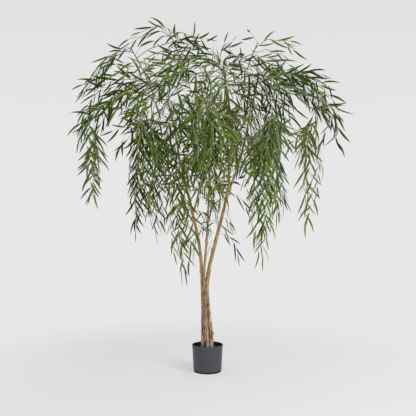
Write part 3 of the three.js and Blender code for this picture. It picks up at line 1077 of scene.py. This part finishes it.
# The share of a mass, next to the limb, on which its main shoots carry no leaves.
BARE_FOOT = {"arching": 0.30, "bushy": 0.15, "upright": 0.12, "plume": 0.12, "hanging": 0.08}
SEAM_PASSES = 3
LINE_PASSES = 12
MAIN_FACING = 0.6  # how far chance turns the leaves of a main shoot
SIDE_FACING = 0.4  # how far chance turns those of its side shoots, where it hangs
SIDE_BARE = 0.1
SIDE_LENGTH = (0.6, 1.1)  # the least and most by which chance scales a side shoot's length
SIDE_EVERY = (0.7, 1.3)  # and how far on the next one leaves
ALTERNATE = 0.8  # how firmly side shoots keep to alternate sides
SAME_SPRAY = 0.65  # the odds that a side shoot has the colour of the shoot that bears it

shoots = []
wood = {"place": np.zeros((0, 3)), "heading": np.zeros((0, 3))}
for line, _ in limb_lines.values():
    add_bearers(wood, line[len(line) // 2:], every=1)
bearers = dict(wood)


def side_shoots(parent, base, habit):
    """Side shoots along a shoot, to alternate sides, shorter towards its tip."""
    manner = HABITS[habit]
    points = parent["points"]
    heading = tangents(points)
    hand = roll.choice([-1, 1])
    at = int(np.argmax(parent["leafy"] > 0)) + roll.integers(2, 6)
    while at < manner["until"] * len(points) - 4:
        hand = -hand
        ahead = heading[at]
        sideways = unit(np.cross(ahead, sideways_at_random(ahead)) + ALTERNATE * hand * np.cross(ahead, UP))
        spread = math.radians(roll.uniform(*manner["spread"]))
        setting_off = math.cos(spread) * ahead + math.sin(spread) * sideways + manner["rise"] * UP
        length = manner["long"] - (manner["long"] - manner["short"]) * at / len(points)
        line = drooping(points[at], setting_off, length * roll.uniform(*SIDE_LENGTH), manner["sag"])
        kind = parent["kind"] if roll.random() < SAME_SPRAY else colour_for(base)
        facing = np.cross(ahead, setting_off)
        if habit == "hanging":
            facing = parent["facing"][at] + SIDE_FACING * roll.normal(size=3)
        add_shoot(line, SIDE_WIRE, SIDE_BARE, kind, habit, facing, base)
        at += max(3, int(manner["every"] * roll.uniform(*SIDE_EVERY) / STEP))


def grow_through(mass, mains):
    """Main shoots through one mass, and their side shoots."""
    base = mass["base"]
    habit = habit_of(mass)
    fall = mass["flow"] == "down"
    roots = bearers if fall else wood
    for reach, side, depth in spread_out(mains):
        start = roll.uniform(0.0, LATE_START)
        end = 1.0 - reach * roll.uniform(0, EARLY_END[fall])
        run = lane(mass, side, depth, start, end)
        place, heading = bearer_for(run[0], roots, fall)
        heading = unit(heading + unit(run[0] - place) + (0 if fall else LIFT_OFF) * UP)
        lead = bowed(place, heading, run[0], run[1] - run[0])
        line = smoothed(np.vstack([lead[:-1], run]), SEAM_PASSES)
        line = wandering(smoothed(even_line(line, np.zeros(len(line)), STEP)[0], LINE_PASSES))
        lead_length = np.linalg.norm(run[0] - place)
        bare = BARE_LEAD * lead_length + BARE_FOOT[habit] * mass["length"]
        facing = (TO_FRONT if fall else mass["across"][0]) + MAIN_FACING * roll.normal(size=3)
        shoot = add_shoot(line, HANG_WIRE if habit == "hanging" else ARCH_WIRE,
                          bare / (lead_length + mass["length"]), colour_for(base), habit, facing, base,
                          roll.normal(0, TURNING))
        if habit != "hanging":
            add_bearers(bearers, shoot["points"][len(shoot["points"]) // 4:])
        side_shoots(shoot, base, habit)


# %% [markdown]
# Short leafy twigs also stand out from the upper stems and the boughs themselves. They fill
# the middle of the crown, where the masses meet. They leave the limb one after another, each
# a golden turn further round.

# %% Short twigs on the limbs
TWIG_EVERY = 0.045
ON_STEM = ((0.08, 0.20), 14.0, "tuft")  # how long the twigs are, how fast they bow down, their habit
ON_BOUGH = ((0.10, 0.24), 2.5, "bushy")
TWIG_AHEAD = 0.55
TWIG_BARE = 0.15
LEAFY_SHARE = {"stem": 0.42, "bough": 0.95, "leader": 0.95, "twig": 0.8}


def twigs_on(name, line, radius):
    """Short shoots round the upper part of a limb."""
    share = next(value for word, value in LEAFY_SHARE.items() if word in name)
    reach, sag, habit = ON_STEM if "stem" in name else ON_BOUGH
    line, radius = even_line(line, radius, TWIG_EVERY)
    heading = tangents(line)
    turn = roll.uniform(0, 2 * math.pi)
    for at in range(int(len(line) * (1 - share)), len(line)):
        turn += GOLDEN_TURN
        side = unit(np.cross(heading[at], [1.0, 0.0, 0.0]))
        aside = math.cos(turn) * side + math.sin(turn) * np.cross(heading[at], side)
        foot = line[at] + radius[at] / 2 * aside  # half way between the limb's middle and its skin
        setting_off = unit(TWIG_AHEAD * heading[at] + aside)
        points = drooping(foot, setting_off, roll.uniform(*reach), sag)
        add_shoot(points, SIDE_WIRE, TWIG_BARE, colour_for(name), habit, np.cross(heading[at], aside), name)


# %% Grow the crown
ORDER = {"out": 0, "up": 1, "down": 2}
# More main shoots for the masses that are still too thin once the whole crown has been grown.
MORE_IN = {
    "right_shoulder": 1, "right_curtain": 1, "right_low_curtain": 1, "front_curtain": 1, "left_inner": 1,
    "front_inner": 2, "heart_left": 1, "heart_right": 2, "top_left": 2, "back_inner": 2, "back_curtain": 1,
    "heart_back": 2,
}

for mass in sorted(masses, key=lambda m: ORDER[m["flow"]]):
    grow_through(mass, mains_in(mass["base"]))
for name, (line, radius) in limb_lines.items():
    twigs_on(name, line, radius)
for base, mains in MORE_IN.items():
    grow_through(next(mass for mass in masses if mass["base"] == base), mains)

leafy_length = sum(STEP * shoot["leafy"].sum() for shoot in shoots)
print(len(shoots), "shoots,", round(leafy_length, 1), "m of them leafy")

# %% [markdown]
# ## Wire
#
# Every shoot has a core of covered wire, thin and pale where it hangs and thicker and
# greener where it arches. Geometry Nodes sweeps a small circle along all of them at once,
# with the radius read from each line.


# %% The wire tree
def wire_tree():
    tree, given = new_tree("wire_along_shoots", {"Sides": COUNT, "Cover": MATERIAL})
    tubes = tubes_along(tree, curves_of(tree, given["Geometry"]), given["Sides"])
    end_tree(tree, shaded_smooth(tree, tubes), given["Cover"])
    return tree


WIRE_TREE = wire_tree()
cover_finish = {"stretch": (1, 1, 0.4), "roughness": (0.45, 0.6), "gloss": 0.2}
pale_wire = toned_material("pale_wire", (0.42, 0.42, 0.32), (0.27, 0.28, 0.18), 30, **cover_finish)
green_wire = toned_material("green_wire", (0.21, 0.21, 0.08), (0.12, 0.115, 0.045), 22, **cover_finish)

# %% Wires
WIRE_SIDES = 5
TWIG_SIDES = 12


def wire_path(shoot):
    points, thick = shoot["points"][::2], shoot["thick"][::2]
    if len(shoot["points"]) % 2 == 0:  # keep the very tip
        points, thick = np.vstack([points, shoot["points"][-1]]), np.append(thick, shoot["thick"][-1])
    return {"points": points, "thick": thick}


def grow_wires(name, paths, sides, cover):
    return grow_mesh(path_object(name, paths), WIRE_TREE, {"Sides": sides, "Cover": cover})


hanging = [wire_path(shoot) for shoot in shoots if shoot["habit"] == "hanging"]
arching = [wire_path(shoot) for shoot in shoots if shoot["habit"] != "hanging"]
finish_piece(grow_wires("arching_wires", arching, WIRE_SIDES, green_wire), "twig")
finish_piece(grow_wires("hanging_wires", hanging, WIRE_SIDES, pale_wire), "twig")

twig_names = [name for name in LIMBS if slot_of[name] == "twig"]
twig_paths = [dict(zip(("points", "thick"), limb_lines[name])) for name in twig_names]
finish_piece(grow_wires("green_twigs", twig_paths, TWIG_SIDES, green_wire), "twig", *twig_names)

# %% [markdown]
# ## Leaves
#
# A leaf is a narrow blade of printed cloth, pressed into a shallow fold along its middle and
# curled down at its tip. It could be one flat card with a picture on it, but a blade of
# twenty triangles in its own outline needs no picture and catches the light like a leaf.
# Three blades of different length are drawn by one function. Each point keeps how far its
# own weight lets it sink, which grows with the square of its distance from the foot.


# %% One leaf blade
STATIONS = (0.09, 0.24, 0.43, 0.65, 0.85)
WIDEST_EARLY = 0.80  # below 1, a blade is widest nearer its foot than its tip
FULL_SIDES = 0.8  # below 1, its sides are fuller than a sine


def leaf_blade(name, length, width, fold, curl, sweep):
    """A narrow blade along X from its foot, with its upper face to Z."""
    points = [(0.0, 0.0, 0.0)]
    for t in STATIONS:
        half = width / 2 * math.sin(math.pi * t**WIDEST_EARLY) ** FULL_SIDES
        drop = -curl * length * t * t
        aside = sweep * length * math.sin(math.pi * t)
        points += [(length * t, aside - half, drop + fold * half), (length * t, aside, drop),
                   (length * t, aside + half, drop + fold * half)]
    points.append((length, 0.0, -curl * length))
    tip = len(points) - 1
    faces = [(0, 1, 2), (0, 2, 3)]
    for k in range(len(STATIONS) - 1):
        a = 1 + 3 * k
        faces += [(a, a + 3, a + 4, a + 1), (a + 1, a + 4, a + 5, a + 2)]
    faces += [(tip - 3, tip, tip - 2), (tip - 2, tip, tip - 1)]
    blade = mesh_object(name, points, faces, smooth=True)
    sink = [length * (x / length) ** 2 for x, _, _ in points]
    blade.data.attributes.new("sink", "FLOAT", "POINT").data.foreach_set("value", sink)
    return blade


BLADES = {
    "Long blade": leaf_blade("long_blade", 0.130, 0.0134, fold=0.40, curl=0.07, sweep=0.055),
    "Middle blade": leaf_blade("middle_blade", 0.116, 0.0132, fold=0.30, curl=0.03, sweep=-0.050),
    "Short blade": leaf_blade("short_blade", 0.096, 0.0114, fold=0.40, curl=0.10, sweep=0.04),
}

# %% [markdown]
# Geometry Nodes sets the blades along the shoots. It walks each leafy line at an even pitch,
# leans every other leaf to the other side, turns it a little by chance and makes it smaller
# towards the tip. Last, each leaf sinks under its own weight. The chance comes from a fixed
# seed, and the instances are realized, so that what is left is a plain mesh.


# %% The leaf tree
# The least and most by which chance scales a leaf's lean, its size and its weight.
LEAN_BY_CHANCE = (0.78, 1.25)
SIZE_BY_CHANCE = (0.84, 1.14)
WEIGHT_BY_CHANCE = (0.5, 1.5)
TIP_FROM = 0.985  # past this share of its line, a leaf points straight ahead
SMALLER_BY = 0.22  # the share of its size that a leaf at the tip has lost
FALL = 0.6  # how far the droop of a shoot's leaves turns them down
LOOSENESS = 0.09  # how far chance turns a leaf from its heading


def chance(tree, seed, salt, low, high):
    """A random number from low to high for each point. The salt keeps one use apart from the next."""
    inputs = {2: low, 3: high, "Seed": math_node(tree, "ADD", seed, salt)}
    return add_node(tree, "FunctionNodeRandomValue", inputs, data_type="FLOAT").outputs[1]


def upright(tree, height):
    """A vector that points straight up, or down where the height is negative."""
    return add_node(tree, "ShaderNodeCombineXYZ", {"Z": height}).outputs[0]


def leaf_tree():
    tree, given = new_tree("leaves_along_shoots", {
        "Pitch": FLOAT, "Twist": FLOAT, "Seed": COUNT, "Long blade": OBJECT, "Middle blade": OBJECT,
        "Short blade": OBJECT, "Cloth": MATERIAL})
    seed = given["Seed"]
    places = curves_of(tree, given["Geometry"], given["Pitch"])

    along = add_node(tree, "GeometryNodeSplineParameter").outputs
    ahead = add_node(tree, "GeometryNodeInputTangent").outputs[0]
    facing = attribute(tree, "facing", "FLOAT_VECTOR")
    droop = attribute(tree, "droop")
    sideways = vector_node(tree, "NORMALIZE", vector_node(tree, "CROSS_PRODUCT", facing, ahead))
    hand = math_node(tree, "MODULO", along["Index"], 2.0)
    hand = math_node(tree, "SUBTRACT", times(tree, hand, 2.0), 1.0)

    lean = times(tree, attribute(tree, "lean"), chance(tree, seed, 3, *LEAN_BY_CHANCE))
    lean = times(tree, lean, math_node(tree, "LESS_THAN", along["Factor"], TIP_FROM))
    forward = scaled(tree, ahead, math_node(tree, "COSINE", lean))
    outward = scaled(tree, sideways, times(tree, math_node(tree, "SINE", lean), hand))
    blade = vector_node(tree, "ADD", forward, outward)
    blade = vector_node(tree, "ADD", blade, upright(tree, times(tree, droop, -FALL)))

    inputs = {0: (-1.0, -1.0, -1.0), 1: (1.0, 1.0, 1.0), "Seed": math_node(tree, "ADD", seed, 5)}
    wobble = add_node(tree, "FunctionNodeRandomValue", inputs, data_type="FLOAT_VECTOR").outputs[0]
    upper = vector_node(tree, "ADD", facing, scaled(tree, wobble, given["Twist"]))
    blade = vector_node(tree, "ADD", blade, scaled(tree, wobble, LOOSENESS))
    turn = add_node(tree, "FunctionNodeAxesToRotation", {"Primary Axis": blade, "Secondary Axis": upper},
                    primary_axis="X", secondary_axis="Z").outputs[0]

    shapes = add_node(tree, "GeometryNodeJoinGeometry")
    for label in BLADES:
        info = add_node(tree, "GeometryNodeObjectInfo", {"Object": given[label], "As Instance": True})
        fill_in(tree, shapes, {0: info.outputs["Geometry"]})
    inputs = {4: 0, 5: len(BLADES) - 1, "Seed": math_node(tree, "ADD", seed, 9)}
    which = add_node(tree, "FunctionNodeRandomValue", inputs, data_type="INT").outputs[2]

    smaller = math_node(tree, "SUBTRACT", 1.0, times(tree, along["Factor"], SMALLER_BY))
    smaller = times(tree, attribute(tree, "size"), smaller)
    size = times(tree, chance(tree, seed, 13, *SIZE_BY_CHANCE), smaller)
    kept = math_node(tree, "GREATER_THAN", attribute(tree, "leafy"), chance(tree, seed, 17, 0.0, 1.0))

    weight = times(tree, droop, chance(tree, seed, 19, *WEIGHT_BY_CHANCE))
    weighed = add_node(tree, "GeometryNodeStoreNamedAttribute", {
        "Geometry": places, "Name": "weight", "Value": weight}, data_type="FLOAT", domain="POINT")
    leaves = add_node(tree, "GeometryNodeInstanceOnPoints", {
        "Points": weighed.outputs[0], "Selection": kept, "Instance": shapes.outputs[0],
        "Pick Instance": True, "Instance Index": which, "Rotation": turn, "Scale": size}).outputs[0]

    # Only once a leaf is realized can each of its points sink by itself.
    realized = add_node(tree, "GeometryNodeRealizeInstances", {0: leaves}).outputs[0]
    sunk = times(tree, attribute(tree, "sink"), attribute(tree, "weight"))
    move = upright(tree, times(tree, sunk, -1.0))
    sinking = add_node(tree, "GeometryNodeSetPosition", {"Geometry": realized, "Offset": move})
    end_tree(tree, sinking.outputs[0], given["Cloth"])
    return tree


LEAF_TREE = leaf_tree()

# %% Leaf cloth in five greens
CLOTH = {
    "deep": ((0.049, 0.087, 0.013), (0.027, 0.053, 0.008)),
    "mid": ((0.115, 0.162, 0.021), (0.064, 0.100, 0.013)),
    # Yellow-green: the cloth's own tint together with a painted highlight.
    "bright": ((0.192, 0.234, 0.038), (0.122, 0.158, 0.023)),
    # Grey-green: the cloth's paler back together with a painted sheen.
    "grey": ((0.132, 0.180, 0.097), (0.070, 0.105, 0.052)),
    "dull": ((0.039, 0.055, 0.014), (0.019, 0.029, 0.008)),
}
LEAF_PITCH = 0.038
LEAF_VALUES = ("points", "leafy", "facing", "lean", "droop", "size")
TWIST = 0.3
SEEDS_APART = 100

for number, (kind, (pale, dark)) in enumerate(CLOTH.items()):
    cloth = toned_material("leaf_cloth_" + kind, pale, dark, scale=24, span=(0.3, 0.7),
                           roughness=(0.5, 0.65), gloss=0.05)
    chosen = [{key: shoot[key] for key in LEAF_VALUES} for shoot in shoots if shoot["kind"] == kind]
    leaves = grow_mesh(path_object("leaves_" + kind, chosen), LEAF_TREE, {
        "Pitch": LEAF_PITCH, "Twist": TWIST, "Seed": SEED + SEEDS_APART * number, "Cloth": cloth, **BLADES})
    finish_piece(leaves, "leaves", *(MASSES if kind == "mid" else ()))

for blade in BLADES.values():
    bpy.data.objects.remove(blade)
